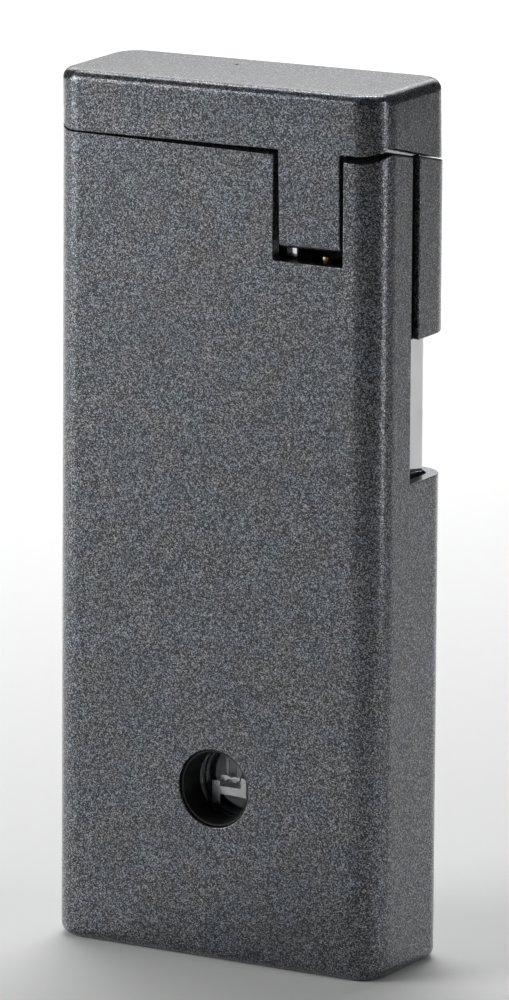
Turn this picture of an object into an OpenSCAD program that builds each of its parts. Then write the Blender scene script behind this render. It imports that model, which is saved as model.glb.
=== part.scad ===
// Slim pocket lighter: painted shell, rear-hinged cap with a front tongue, side thumb slide,
// flint striker, gas jet and fuel tank with a round sight window.
// Units are millimetres. +Z is up, -Y is the front with the window, +X is the slide's side.
// The origin is the centre of the flat base.

/* [Body] */
// Width of the painted body
body_w = 29.6; // [29.4:0.1:30]
// Depth of the painted body
body_d = 11.4; // [11.3:0.1:11.6]
// Height from the base to the top of the closed cap, at its lower end
total_h = 70; // [69.5:0.1:70.4]
// Radius of the four upright corners
corner_r = 2.5; // [2.3:0.1:2.7]
// Radius of the rounded edges at the base and on the top of the cap
edge_r = 0.9; // [0.6:0.1:1]
// Wall thickness of the painted shell
wall = 1; // [0.9:0.05:1.05]

/* [Seam] */
// Height of the seam along the front
seam_front_z = 65.18; // [65:0.02:65.3]
// Height of the seam where the sides start to slope
seam_peak_z = 65.78; // [65.6:0.02:65.9]
// Height of the seam at the back
seam_rear_z = 63.8; // [63.7:0.05:63.85]
// How far the closed cap leans, its slide end higher, in degrees
cap_lean = 0.98; // [0.6:0.02:1]

/* [Tongue] */
// Position of the cap's tongue across the front
tongue_x = 8.35; // [8.2:0.05:8.5]
// Width of the cap's tongue
tongue_w = 5.42; // [5.2:0.02:5.5]
// Height of the tongue's lower end above the base
tongue_end_z = 57.55; // [57.3:0.05:58]
// Width of the notch in the body that takes the tongue
notch_w = 6.18; // [6.1:0.02:6.3]
// Height of the notch's floor above the base
notch_floor_z = 56.87; // [56.7:0.01:57]

/* [Slide] */
// Travel of the thumb slide
slide_travel = 10; // [8:0.5:10]
// Height of the slide's lower edge above the base, at rest
slide_low_z = 50.5; // [50.4:0.1:50.8]
// Height of the lip under the slide
lip_z = 39.2; // [38.8:0.1:39.4]
// How far the slide stands proud of the body
slide_proud = 0.1; // [0:0.02:0.14]

/* [Window] */
// Position of the fuel window across the front
window_x = 0.2; // [0:0.1:1]
// Height of the window's centre above the base
window_z = 13.96; // [13:0.1:15]
// Radius of the window's hole in the shell
window_r = 3.14; // [3.1:0.01:3.3]

/* [Hidden] */
$fn = 48;
big = 100;
half_w = body_w / 2;
half_d = body_d / 2;

// Side profile of the seam: level along the front, a short rise, then a slope down to the back
rise_start_y = -half_d + 0.15;
rise_end_y = -3.8;
rise_overlap = 0.04;
seam_gap = 0.07;
shell_top_z = 66.5;

// Clearances: of a running pin, of a fixed pin, of a fitting in its hole, and between fixed parts
run_gap = 0.04;
pin_gap = 0.01;
hole_gap = 0.1;
fit_gap = 0.02;

// Hinge, on the back edge of the seam
hinge_y = half_d;
hinge_z = seam_rear_z + seam_gap / 2;
knuckle_r = 0.85;
knuckle_count = 5;
knuckle_gap = 0.03;
hinge_w = 16;
knuckle_w = hinge_w / knuckle_count;
hinge_hole_w = hinge_w + 0.3;
hinge_hole_z = 62.5;
pin_r = 0.4;
body_leaf_y = [4.36, 4.68];
body_leaf_z = [57.5, 62.7];
body_web_z = [62.6, 63.5];
cap_leaf_y = [4.42, 4.77];
cap_leaf_z = [64.6, 67.8];
cap_web_z = [64.05, 64.8];
rivet_r = 0.4;
rivet_hole_r = rivet_r + fit_gap;
body_rivet = [5, 59];
cap_rivet = [4.8, 66.6];

// Cap
cap_wall = 0.9;
cap_top_t = 1.1;
cap_pivot_x = -13.8;
cap_pivot_z = 65.7;
cap_side_peak_z = 66.34;
cap_side_lift = 0.52;
cap_cut_x = 11;
skirt_z = 62;
pinhole = [-2.84, 2.58, 0.16];
pad_x = [4, 12.5];
pad_y = [-3.6, 3.6];
pad_z = 67.4;

// Corner of the shell that is cut away for the slide
cut_x = 9.6;
cut_y = -0.66;

// Chrome inner walls
sleeve_w = 26.56;
sleeve_d = 9.2;
sleeve_r = 0.8;
sleeve_top_z = 55.5;
sheet_t = 0.35;
guard_w = 26.3;
guard_front_y = -4.1;
guard_back_y = 4.3;
guard_low_z = sleeve_top_z + 0.05;
guard_top_z = 66.6;
guard_open_x = [6.5, 10.85];
guard_open_z = 56;
guard_open_r = 0.8;
arm_slot_y = [1.35, 3.25];
arm_slot_z = [51.4, 64.6];

// Fuel tank
floor_t = 1.2;
tank_w = 25.7;
tank_d = 8.3;
tank_r = 0.6;
tank_wall = 0.5;
tank_base_z = 1.25;
tank_base_t = 1.65;
tank_low_z = 2.95;
tank_step_z = 41.2;
tank_top_z = 50.3;
channel_x = 9.35;
channel_y = 0.8;
dome_x = [-12.6, 4.6];
dome_y = [-3.6, 3.8];
dome_top_z = 64.6;

// Striker, its flint and its tube share one upright line
striker_x = 8;
striker_y = 0.15;
striker_z = 53.6;
wheel_r = 1.9;
wheel_y = [-0.85, 1.15];
wheel_teeth = 36;
axle_r = 0.5;
axle_y = [-1.45, 3.6];
flint_r = 0.9;
tube_r = 1.15;
tube_bore_r = 0.95;
tube_top_z = 51;

// Bracket of the striker and the lever
bracket_z = tank_top_z + 0.05;
bracket_t = 0.4;
bracket_x = [6.6, 9.3];
bracket_top_z = 54.4;
ear_x = [5.5, 10.75];
ear_y = [-0.6, 0.6];
ear_top_z = 57.3;

// Rack and pinion
gear_module = 0.25;
pinion_teeth = 14;
pinion_r = gear_module * pinion_teeth / 2;
pinion_y = [1.75, 2.95];
tooth_pitch = PI * gear_module;
rack_z = [52.6, 64.4];
rack_back_x = 11;
rack_body_x = 10.05;
ramp_rise = 0.5;

// Slide
guide_x = 12;
guide_y = 2.3;
guide_r = 0.45;
arm_z = [61.6, 64.2];
cover_t = 0.6;
cover_y = 0.35;
cover_lean = 2.2;

// Gas valve, straight under the jet
jet_x = 8.42;
jet_y = -2.7;
jet_top_z = 57;
jet_r = 0.42;
flange_z = 55.2;
flange_r = 1;
valve_r = 1.2;
valve_low_z = 46;
valve_top_z = 53.6;
chamber_r = 0.95;
chamber_top_z = 50.1;
stem_r = 0.45;
seat_z = [46.65, 47.55];
seat_r = 0.85;
lever_z = 56.6;
lever_x = [6.2, 10.7];
lever_pin_r = 0.3;
prong_w = 0.35;
prong_tip = [-2.7, 54.93];
prong_r = 0.22;
tail_x = 10.1;
tail_r = 0.3;
lever_tip_z = 54.5;

// Fuel pick-up
pickup_y = -0.2;
pickup_z = 12.25;
pickup_head_x = [-3.1, -2.4];
pickup_head_r = 0.93;
pickup_r = 0.32;
clip_z = [11.2, 15];

// Window fittings, from the front inwards
bezel_r = 3.1;
bezel_y = [-5.45, -1.5];
bezel_bore_r = 2.9;
bezel_lip_r = 2.5;
lens_r = 2.88;
lens_y = [-2.95, -2.1];
seal_y = [-2.08, -1.77];
seal_bore_r = 2.55;

// Base fittings
fitting_low_z = 0.3;
fitting_top_z = 1.2;
refill_x = -6.5;
refill_r = 2;
refill_neck_r = 1.5;
refill_bore_r = 0.6;
refill_chamber_r = 1.1;
refill_top_z = 6.5;
adjuster_r = 1;
adjuster_neck_r = 0.8;
adjuster_top_z = 3;
flint_screw_r = 1.4;
flint_screw_top_z = 8.5;
screw_x = -11.2;
screw_r = 0.6;
screw_head_r = 1.05;
screw_head_z = [0.15, 0.63];
slot_w = 0.3;

// ---- shared shapes ----

module rrect(w, d, r) {
    square([w - 2 * r, d], center = true);
    square([w, d - 2 * r], center = true);
    for (sx = [-1, 1], sy = [-1, 1]) {
        translate([sx * (w / 2 - r), sy * (d / 2 - r)]) circle(r);
    }
}

// Section of a bar with its two lower edges rounded
module round_foot(w, h, e) {
    translate([-w / 2 + e, 0]) square([w - 2 * e, h]);
    translate([-w / 2, e]) square([w, h - e]);
    for (s = [-1, 1]) {
        translate([s * (w / 2 - e), e]) circle(e);
    }
}

// Upright block with round corners and a rounded lower edge
module round_block(w, d, h, r, e) {
    rotate([90, 0, 90]) translate([0, 0, -w / 2 + r]) linear_extrude(w - 2 * r) round_foot(d, h, e);
    rotate([90, 0, 0]) translate([0, 0, -d / 2 + r]) linear_extrude(d - 2 * r) round_foot(w, h, e);
    for (sx = [-1, 1], sy = [-1, 1]) {
        translate([sx * (w / 2 - r), sy * (d / 2 - r), 0]) rotate_extrude() intersection() {
            round_foot(2 * r, h, e);
            square([r, h]);
        }
    }
}

// Prism along X from a Y-Z outline
module along_x(x0, x1) {
    translate([x0, 0, 0]) rotate([90, 0, 90]) linear_extrude(x1 - x0) children();
}

// Prism or cylinder along Y from an X-Z outline
module along_y(y0, y1) {
    translate([0, y1, 0]) rotate([90, 0, 0]) linear_extrude(y1 - y0) children();
}

module box(x, y, z) {
    translate([x[0], y[0], z[0]]) cube([x[1] - x[0], y[1] - y[0], z[1] - z[0]]);
}

module post(x, y, z, r) {
    translate([x, y, z[0]]) cylinder(r = r, h = z[1] - z[0]);
}

module pipe(x, y, z, r_out, r_in) {
    difference() {
        post(x, y, z, r_out);
        post(x, y, [z[0] - 1, z[1] + 1], r_in);
    }
}

module rod_x(x, y, z, r) {
    translate([x[0], y, z]) rotate([0, 90, 0]) cylinder(r = r, h = x[1] - x[0]);
}

module rod_y(x, y, z, r) {
    translate([x, y[0], z]) rotate([-90, 0, 0]) cylinder(r = r, h = y[1] - y[0]);
}

// Slot for a screwdriver in a fitting's lower end
module driver_slot(x, y, depth_z) {
    box([x - 2, x + 2], [y - slot_w / 2, y + slot_w / 2], [0, depth_z]);
}

// Round wire wound into a coil about Z
module coil(r, wire_r, h, turns) {
    sides = 6;
    steps = 14;
    rings = turns * steps;
    function ring_at(i) = [for (k = [0:sides - 1])
        let (a = 360 * i / steps, b = 360 * k / sides)
        [(r + wire_r * cos(b)) * cos(a), (r + wire_r * cos(b)) * sin(a), h * i / rings + wire_r * sin(b)]];
    points = [for (i = [0:rings]) each ring_at(i)];
    faces = [
        [for (k = [0:sides - 1]) k],
        [for (k = [sides - 1:-1:0]) rings * sides + k],
        for (i = [0:rings - 1], k = [0:sides - 1])
            let (low = i * sides, high = (i + 1) * sides, next = (k + 1) % sides)
            [low + k, high + k, high + next, low + next]
    ];
    translate([0, 0, wire_r]) polyhedron(points, faces, convexity = 10);
}

// Everything above the seam, for trimming the body
module above_seam() {
    along_x(-half_w - 1, half_w + 1) polygon([
        [-half_d - 1, seam_front_z], [rise_start_y, seam_front_z], [rise_end_y, seam_peak_z],
        [half_d, seam_rear_z], [half_d + 1, seam_rear_z], [half_d + 1, big], [-half_d - 1, big]
    ]);
}

// Everything below one side of the cap
module below_cap_side(x0, x1, front_z, peak_z) {
    rear_z = seam_rear_z + seam_gap;
    along_x(x0, x1) polygon([
        [-half_d - 1, front_z], [rise_start_y, front_z], [rise_end_y, peak_z],
        [half_d, rear_z], [half_d + 1, rear_z], [half_d + 1, 0], [-half_d - 1, 0]
    ]);
}

// Everything below the front of the cap, before it leans
module below_cap_front() {
    front_z = seam_front_z + seam_gap;
    peak_z = seam_peak_z + seam_gap;
    end_y = rise_end_y + rise_overlap;
    along_x(-big, big) polygon([
        [-half_d - 1, front_z], [rise_start_y, front_z], [rise_end_y, peak_z],
        [end_y, peak_z], [end_y, 0], [-half_d - 1, 0]
    ]);
}

// Holes for a pair of rivets
module rivet_holes(place) {
    for (side = [-1, 1]) {
        rod_y(side * place[0], [4, 7], place[1], rivet_hole_r);
    }
}

module rivets(place, low_y) {
    for (side = [-1, 1]) {
        rod_y(side * place[0], [low_y, half_d], place[1], rivet_r);
    }
}

module lean_cap() {
    translate([cap_pivot_x, 0, cap_pivot_z]) rotate([0, -cap_lean, 0])
        translate([-cap_pivot_x, 0, -cap_pivot_z]) children();
}

// ---- body ----

module outer_shell() color([0.36, 0.37, 0.39]) {
    difference() {
        round_block(body_w, body_d, shell_top_z, corner_r, edge_r);
        translate([0, 0, floor_t]) linear_extrude(big)
            rrect(body_w - 2 * wall, body_d - 2 * wall, corner_r - wall);
        above_seam();
        box([tongue_x - notch_w / 2, tongue_x + notch_w / 2], [-half_d - 1, -half_d + wall + 0.5],
            [notch_floor_z, big]);
        box([cut_x, big], [cut_y, big], [lip_z, big]);
        rod_y(window_x, [-half_d - 1, -half_d + wall + 0.5], window_z, window_r);
        box([-hinge_hole_w / 2, hinge_hole_w / 2], [half_d - wall - 0.5, half_d + 1], [hinge_hole_z, big]);
        post(refill_x, 0, [-1, floor_t + 1], refill_r + hole_gap);
        post(jet_x, jet_y, [-1, floor_t + 1], adjuster_r + hole_gap);
        post(striker_x, striker_y, [-1, floor_t + 1], flint_screw_r + hole_gap);
        post(screw_x, 0, [-1, floor_t + 1], screw_r + 0.05);
        post(screw_x, 0, [-1, screw_head_z[1] + fit_gap], screw_head_r + hole_gap);
        rivet_holes(body_rivet);
    }
}

module inner_sleeve() color([0.85, 0.86, 0.88]) {
    difference() {
        translate([0, 0, floor_t + fit_gap]) linear_extrude(sleeve_top_z - floor_t)
            rrect(sleeve_w, sleeve_d, sleeve_r);
        translate([0, 0, 0]) linear_extrude(big)
            rrect(sleeve_w - 2 * sheet_t, sleeve_d - 2 * sheet_t, sleeve_r - sheet_t);
        rod_y(window_x, [-6, 0], window_z, window_r);
        box([12, 14], arm_slot_y, [arm_slot_z[0], big]);
    }
}

module windguard() color([0.85, 0.86, 0.88]) {
    mid_y = (guard_front_y + guard_back_y) / 2;
    depth = guard_back_y - guard_front_y;
    open_low_z = guard_open_z + guard_open_r;
    open_w = guard_open_x[1] - guard_open_x[0];
    difference() {
        translate([0, mid_y, guard_low_z]) linear_extrude(guard_top_z - guard_low_z)
            rrect(guard_w, depth, sleeve_r);
        translate([0, mid_y, 0]) linear_extrude(big)
            rrect(guard_w - 2 * sheet_t, depth - 2 * sheet_t, sleeve_r - sheet_t);
        along_y(-6, 0) {
            translate([guard_open_x[0], open_low_z]) square([open_w, 12]);
            translate([guard_open_x[0] + guard_open_r, guard_open_z]) square([open_w - 2 * guard_open_r, 12]);
            for (x = [guard_open_x[0] + guard_open_r, guard_open_x[1] - guard_open_r]) {
                translate([x, open_low_z]) circle(guard_open_r);
            }
        }
        box([12, 14], arm_slot_y, [0, arm_slot_z[1]]);
    }
}

// Outline of the tank above its step: full width in front, cut back behind for the rack
module tank_plan_high(inset) {
    difference() {
        rrect(tank_w - 2 * inset, tank_d - 2 * inset, tank_r);
        translate([channel_x - inset, channel_y - inset]) square(10);
    }
}

module fuel_tank() color([0.72, 0.74, 0.76]) {
    t = tank_wall;
    difference() {
        union() {
            translate([0, 0, tank_low_z]) linear_extrude(tank_step_z - tank_low_z)
                rrect(tank_w, tank_d, tank_r);
            translate([0, 0, tank_low_z]) linear_extrude(tank_top_z - tank_low_z) tank_plan_high(0);
            box(dome_x, dome_y, [tank_top_z - 0.1, dome_top_z]);
        }
        translate([0, 0, 0]) linear_extrude(tank_step_z - t) rrect(tank_w - 2 * t, tank_d - 2 * t, tank_r);
        translate([0, 0, 0]) linear_extrude(tank_top_z - t) tank_plan_high(t);
        box([dome_x[0] + t, dome_x[1] - t], [dome_y[0] + t, dome_y[1] - t], [40, dome_top_z - t]);
        rod_y(window_x, [-6, -2], window_z, bezel_r + fit_gap);
        post(striker_x, striker_y, [0, big], tube_r + fit_gap);
        post(jet_x, jet_y, [40, big], valve_r + fit_gap);
    }
}

module tank_base() color([0.72, 0.74, 0.76]) {
    difference() {
        translate([0, 0, tank_base_z]) linear_extrude(tank_base_t) rrect(tank_w, tank_d, tank_r);
        post(refill_x, 0, [0, 5], refill_neck_r + 0.03);
        post(jet_x, jet_y, [0, 5], adjuster_neck_r + 0.05);
        post(striker_x, striker_y, [0, 5], tube_r + fit_gap);
        post(screw_x, 0, [0, 2.6], screw_r + fit_gap);
    }
}

module tank_screw() color([0.8, 0.8, 0.82]) {
    difference() {
        union() {
            post(screw_x, 0, screw_head_z, screw_head_r);
            post(screw_x, 0, [screw_head_z[1] - 0.01, 2.5], screw_r);
        }
        driver_slot(screw_x, 0, 0.4);
    }
}

// ---- fuel window ----

module window_bezel() color([0.05, 0.05, 0.05]) {
    difference() {
        rod_y(window_x, bezel_y, window_z, bezel_r);
        rod_y(window_x, [bezel_y[0] - 1, bezel_y[1] - 0.25], window_z, bezel_bore_r);
        rod_y(window_x, [-2, -1], window_z, bezel_lip_r);
    }
}

module window_lens() color([0.3, 0.32, 0.34, 0.6]) rod_y(window_x, lens_y, window_z, lens_r);

module window_seal() color([0.08, 0.08, 0.08]) {
    difference() {
        rod_y(window_x, seal_y, window_z, lens_r);
        rod_y(window_x, [-3, -1], window_z, seal_bore_r);
    }
}

// Pin of the fuel pick-up, held by the flint tube and seen through the window
module pickup_pin() color([0.75, 0.76, 0.78]) {
    rod_x(pickup_head_x, pickup_y, pickup_z, pickup_head_r);
    rod_x([pickup_head_x[1] - 0.02, striker_x - tube_r - 0.03], pickup_y, pickup_z, pickup_r);
}

// Stamped clip on the pick-up pin
module pickup_clip() color([0.8, 0.8, 0.78]) {
    difference() {
        box([-0.4, 0], [-1, 1], clip_z);
        rod_x([-1, 1], pickup_y, pickup_z, pickup_r + fit_gap);
    }
    box([-2.3, -0.4], [-0.9, -0.6], [13.1, 13.4]);
    for (x = [-1.9, -1.1]) {
        rod_x([x, x + 0.5], -0.75, 13.6, 0.3);
    }
}

// ---- base fittings ----

module refill_valve_body() color([0.8, 0.66, 0.35]) {
    difference() {
        union() {
            post(refill_x, 0, [fitting_low_z, fitting_top_z], refill_r);
            post(refill_x, 0, [fitting_top_z, refill_top_z], refill_neck_r);
        }
        post(refill_x, 0, [0, 3.1], refill_bore_r);
        post(refill_x, 0, [3, refill_top_z - 0.5], refill_chamber_r);
    }
}

module refill_valve_stem() color([0.75, 0.76, 0.78]) {
    post(refill_x, 0, [0.5, 3.2], refill_bore_r - 0.05);
    post(refill_x, 0, [3.05, 3.6], refill_chamber_r - 0.1);
}

module refill_valve_spring() color([0.6, 0.6, 0.6]) translate([refill_x, 0, 3.65]) coil(0.75, 0.12, 2.05, 4);

module refill_valve_seal() color([0.08, 0.08, 0.08]) {
    pipe(refill_x, 0, [refill_top_z + 0.05, refill_top_z + 0.45], 1.45, 0.5);
}

module flame_adjuster() color([0.8, 0.66, 0.35]) {
    difference() {
        union() {
            post(jet_x, jet_y, [fitting_low_z, fitting_top_z + 0.02], adjuster_r);
            post(jet_x, jet_y, [fitting_top_z, adjuster_top_z], adjuster_neck_r);
        }
        driver_slot(jet_x, jet_y, 0.7);
    }
}

module adjuster_rod() color([0.75, 0.76, 0.78]) {
    post(jet_x, jet_y, [adjuster_top_z + fit_gap, valve_low_z - 0.1], 0.4);
}

// ---- gas valve ----

module valve_body() color([0.8, 0.66, 0.35]) {
    difference() {
        post(jet_x, jet_y, [valve_low_z, valve_top_z], valve_r);
        post(jet_x, jet_y, [valve_low_z + 0.6, chamber_top_z], chamber_r);
        post(jet_x, jet_y, [0, big], stem_r + 0.05);
    }
}

module valve_spring() color([0.6, 0.6, 0.6]) translate([jet_x, jet_y, 48.15]) coil(0.7, 0.1, 1.7, 4);

module valve_seal() color([0.08, 0.08, 0.08]) post(jet_x, jet_y, seat_z, seat_r);

module burner_jet() color([0.8, 0.66, 0.35]) {
    difference() {
        union() {
            post(jet_x, jet_y, [seat_z[1] + 0.05, seat_z[1] + 0.55], seat_r);
            post(jet_x, jet_y, [seat_z[1] + 0.45, 56], stem_r);
            post(jet_x, jet_y, [flange_z, flange_z + 0.3], flange_r);
            translate([jet_x, jet_y, 55.9]) cylinder(r = jet_r, h = jet_top_z - 55.9, $fn = 6);
        }
        post(jet_x, jet_y, [55, 58], 0.12);
    }
}

// Bell crank: two prongs under the jet's flange and a tail on the rack's ramp
module gas_lever() color([0.6, 0.61, 0.63]) {
    tip = prong_tip;
    low = tip[1] - prong_r;
    top = tip[1] + prong_r - 0.02;
    difference() {
        union() {
            rod_x(lever_x, 0, lever_z, 2 * tail_r);
            for (x = [jet_x - 0.62 - prong_w, jet_x + 0.62]) {
                along_x(x, x + prong_w) {
                    polygon([
                        [-0.2, lever_z + 0.4], [-0.2, lever_z - 0.4], [-0.98, lever_z - 1.05],
                        [-1.2, lever_z - 1.7], [-1.35, low], [tip[0], low],
                        [tip[0], top], [-1.8, top], [-1.4, lever_z - 0.7]
                    ]);
                    translate(tip) circle(prong_r);
                }
            }
            along_x(tail_x, lever_x[1]) {
                polygon([
                    [-0.4, lever_z - 0.2], [0.5, lever_z], [1.5, lever_tip_z + 0.1], [0.95, lever_tip_z - 0.1]
                ]);
                translate([1.2, lever_tip_z]) circle(tail_r);
            }
        }
        rod_x([0, 20], 0, lever_z, lever_pin_r + 0.05);
    }
}

module lever_pin() color([0.75, 0.76, 0.78]) {
    rod_x([ear_x[0] + 0.05, ear_x[1] + 0.35], 0, lever_z, lever_pin_r);
}

// ---- striker ----

module striker_bracket() color([0.6, 0.61, 0.63]) {
    z0 = bracket_z;
    z1 = z0 + bracket_t;
    difference() {
        union() {
            box([ear_x[0], bracket_x[1]], axle_y, [z0, z1]);
            box([bracket_x[1] - 0.1, ear_x[1] + bracket_t], [axle_y[0], 0.7], [z0, z1]);
            box(bracket_x, [axle_y[0], axle_y[0] + bracket_t], [z0, bracket_top_z]);
            box(bracket_x, [axle_y[1] - 0.45, axle_y[1]], [z0, bracket_top_z]);
            for (x = ear_x) {
                box([x, x + bracket_t], ear_y, [z0, ear_top_z]);
            }
        }
        post(striker_x, striker_y, [40, tube_top_z + 0.1], tube_r + fit_gap);
        rod_y(striker_x, [-3, 5], striker_z, axle_r + run_gap);
        rod_x([5, 12], 0, lever_z, lever_pin_r + run_gap);
    }
}

module striker_axle() color([0.75, 0.76, 0.78]) rod_y(striker_x, axle_y, striker_z, axle_r);

// Outline of a toothed wheel with straight-sided teeth
module tooth_ring(teeth, r_root, r_tip, root_share, tip_share) {
    step = 360 / teeth;
    polygon([for (i = [0:teeth - 1]) each [
        for (c = [[-root_share, r_root], [-tip_share, r_tip], [tip_share, r_tip], [root_share, r_root]])
            [c[1] * cos(step * (i + c[0])), c[1] * sin(step * (i + c[0]))]
    ]]);
}

module striker_wheel() color([0.35, 0.35, 0.36]) {
    translate([striker_x, 0, striker_z]) along_y(wheel_y[0], wheel_y[1]) difference() {
        tooth_ring(wheel_teeth, wheel_r - 0.15, wheel_r, 0.42, 0.1);
        circle(axle_r + pin_gap);
    }
}

// A gap, not a tooth, faces the rack at the pitch line's height
module drive_pinion() color([0.7, 0.71, 0.73]) {
    translate([striker_x, 0, striker_z]) along_y(pinion_y[0], pinion_y[1]) difference() {
        rotate(180 / pinion_teeth)
            tooth_ring(pinion_teeth, pinion_r - 0.3, pinion_r + 0.2, 0.3, 0.12);
        circle(axle_r + pin_gap);
    }
}

module flint() color([0.3, 0.28, 0.27]) post(striker_x, striker_y, [47, 51.64], flint_r);

module flint_tube() color([0.8, 0.66, 0.35]) {
    pipe(striker_x, striker_y, [tank_base_z, tube_top_z], tube_r, tube_bore_r);
}

module flint_spring() color([0.6, 0.6, 0.6]) {
    translate([striker_x, striker_y, flint_screw_top_z + 0.1]) coil(0.7, 0.14, 38, 20);
}

module flint_screw() color([0.8, 0.66, 0.35]) {
    difference() {
        union() {
            post(striker_x, striker_y, [fitting_low_z, fitting_top_z], flint_screw_r);
            post(striker_x, striker_y, [fitting_top_z, flint_screw_top_z], tube_bore_r - 0.03);
        }
        driver_slot(striker_x, striker_y, 0.75);
    }
}

// ---- thumb slide ----

// Plan of the L-shaped band that wraps the slide's corner, between two insets
module corner_band(out, inset, x0, y0) {
    intersection() {
        difference() {
            rrect(body_w + 2 * out, body_d + 2 * out, corner_r + out);
            rrect(body_w - 2 * inset, body_d - 2 * inset, corner_r - inset);
        }
        translate([x0, y0]) square(20);
    }
}

// Trims the top of the slide along the slope of the cap's side
module above_slide(drop) {
    along_x(0, 20) polygon([
        [-1, 65.38 - drop], [half_d + 0.5, 63.68 - drop], [half_d + 0.5, big], [-1, big]
    ]);
}

module slider_cover() color([0.36, 0.37, 0.39]) {
    difference() {
        translate([0, 0, slide_low_z]) linear_extrude(16)
            corner_band(slide_proud, cover_t - slide_proud, cut_x + 0.15, cover_y);
        above_slide(0);
        translate([0, cover_y + 0.02, 65]) rotate([-cover_lean, 0, 0]) translate([0, -2, -20]) cube([20, 2, 22]);
    }
}

module slider_carriage() color([0.06, 0.06, 0.06]) {
    inner_x = sleeve_w / 2 + 0.07;
    inner_y = sleeve_d / 2 + 0.07;
    difference() {
        union() {
            translate([0, 0, slide_low_z]) linear_extrude(16) intersection() {
                difference() {
                    rrect(body_w - 1.1, body_d - 1.1, corner_r - 0.55);
                    rrect(2 * inner_x, 2 * inner_y, sleeve_r);
                }
                translate([cut_x + 0.15, cut_y + 0.1]) square(20);
            }
            box([rack_back_x + fit_gap, inner_x + 0.3], [1.5, 3.1], arm_z);
        }
        above_slide(0.1);
        post(guide_x, guide_y, [50, big], guide_r + run_gap);
    }
}

// The front face leans so that it pushes the lever's tail as the rack goes down
module slider_rack() color([0.7, 0.71, 0.73]) {
    low = rack_z[0];
    high = rack_z[1];
    root_x = striker_x + pinion_r + 0.3;
    tip_x = striker_x + pinion_r - 0.2;
    face_y = 1.57;
    lean = ramp_rise / slide_travel;
    along_x(rack_body_x, rack_back_x) polygon([
        [face_y, low], [face_y, lever_tip_z + 0.2], [face_y - lean * (high - lever_tip_z - 0.2), high],
        [3, high], [3, low]
    ]);
    along_y(pinion_y[0], pinion_y[1]) for (i = [-1:13]) {
        z = striker_z + i * tooth_pitch;
        polygon([
            [root_x, z - 0.3 * tooth_pitch], [root_x, z + 0.3 * tooth_pitch],
            [tip_x, z + 0.12 * tooth_pitch], [tip_x, z - 0.12 * tooth_pitch]
        ]);
    }
}

module slider_spring() color([0.6, 0.6, 0.6]) {
    translate([guide_x, guide_y, tank_step_z + 0.05]) coil(0.66, 0.12, arm_z[0] - tank_step_z - 0.4, 16);
}

module guide_rod() color([0.75, 0.76, 0.78]) post(guide_x, guide_y, [tank_step_z + 0.02, 65.6], guide_r);

module guide_bridge() color([0.6, 0.61, 0.63]) {
    difference() {
        box([9.8, 12.7], [0.8, 3.7], [65.1, 65.6]);
        post(guide_x, guide_y, [60, 70], guide_r + 0.02);
    }
}

// ---- cap and hinge ----

module cap_shell() color([0.36, 0.37, 0.39]) {
    difference() {
        lean_cap() difference() {
            translate([0, 0, total_h]) mirror([0, 0, 1])
                round_block(body_w, body_d, total_h - skirt_z, corner_r, edge_r);
            translate([0, 0, skirt_z - 1]) linear_extrude(total_h - cap_top_t - skirt_z + 1)
                rrect(body_w - 2 * cap_wall, body_d - 2 * cap_wall, corner_r - cap_wall);
            below_cap_front();
        }
        below_cap_side(-half_w - 1, cap_cut_x, seam_front_z + seam_gap, seam_peak_z + seam_gap);
        below_cap_side(cap_cut_x, half_w + 1, seam_front_z + cap_side_lift, cap_side_peak_z);
        box([-hinge_hole_w / 2, hinge_hole_w / 2], [half_d - cap_wall - 0.3, big], [0, 65]);
        rivet_holes(cap_rivet);
        post(pinhole[0], pinhole[1], [total_h - 0.5, big], pinhole[2]);
    }
    lean_cap() tongue();
}

module tongue() {
    r = 0.6;
    y0 = -half_d;
    y1 = -half_d + cap_wall;
    along_x(tongue_x - tongue_w / 2, tongue_x + tongue_w / 2) {
        translate([y0, tongue_end_z + r]) square([cap_wall, seam_front_z - tongue_end_z]);
        intersection() {
            translate([y0 + r, tongue_end_z + r]) circle(r);
            translate([y0, tongue_end_z]) square([cap_wall, r + 0.1]);
        }
        translate([y0 + r, tongue_end_z]) square([y1 - y0 - r, r + 0.1]);
    }
}

module cap_pad() color([0.1, 0.1, 0.1]) lean_cap() box(pad_x, pad_y, [pad_z, total_h - cap_top_t - fit_gap]);

// Knuckles numbered from the left; every second one is the cap's
module knuckles(first) {
    for (i = [first:2:knuckle_count - 1]) {
        x = -hinge_w / 2 + i * knuckle_w;
        rod_x([x + knuckle_gap, x + knuckle_w - knuckle_gap], hinge_y, hinge_z, knuckle_r);
    }
}

module body_hinge_leaf() color([0.7, 0.71, 0.73]) {
    difference() {
        union() {
            knuckles(0);
            for (i = [0, 2, 4]) {
                x = -hinge_w / 2 + i * knuckle_w;
                box([x + knuckle_gap, x + knuckle_w - knuckle_gap], [body_leaf_y[0], hinge_y - 0.1], body_web_z);
            }
            box([-hinge_w / 2, hinge_w / 2], body_leaf_y, body_leaf_z);
        }
        rod_x([-9, 9], hinge_y, hinge_z, pin_r + run_gap);
        rivet_holes(body_rivet);
    }
}

module cap_hinge_leaf() color([0.7, 0.71, 0.73]) {
    difference() {
        union() {
            knuckles(1);
            for (i = [1, 3]) {
                x = -hinge_w / 2 + i * knuckle_w;
                box([x + knuckle_gap, x + knuckle_w - knuckle_gap], [cap_leaf_y[0], hinge_y - 0.1], cap_web_z);
            }
            box([-hinge_w / 2 + 1, hinge_w / 2 - 1], cap_leaf_y, cap_leaf_z);
        }
        rod_x([-9, 9], hinge_y, hinge_z, pin_r + run_gap);
        rivet_holes(cap_rivet);
    }
}

module hinge_pin() color([0.75, 0.76, 0.78]) {
    rod_x([-hinge_w / 2 - 0.1, hinge_w / 2 + 0.1], hinge_y, hinge_z, pin_r);
}

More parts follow.
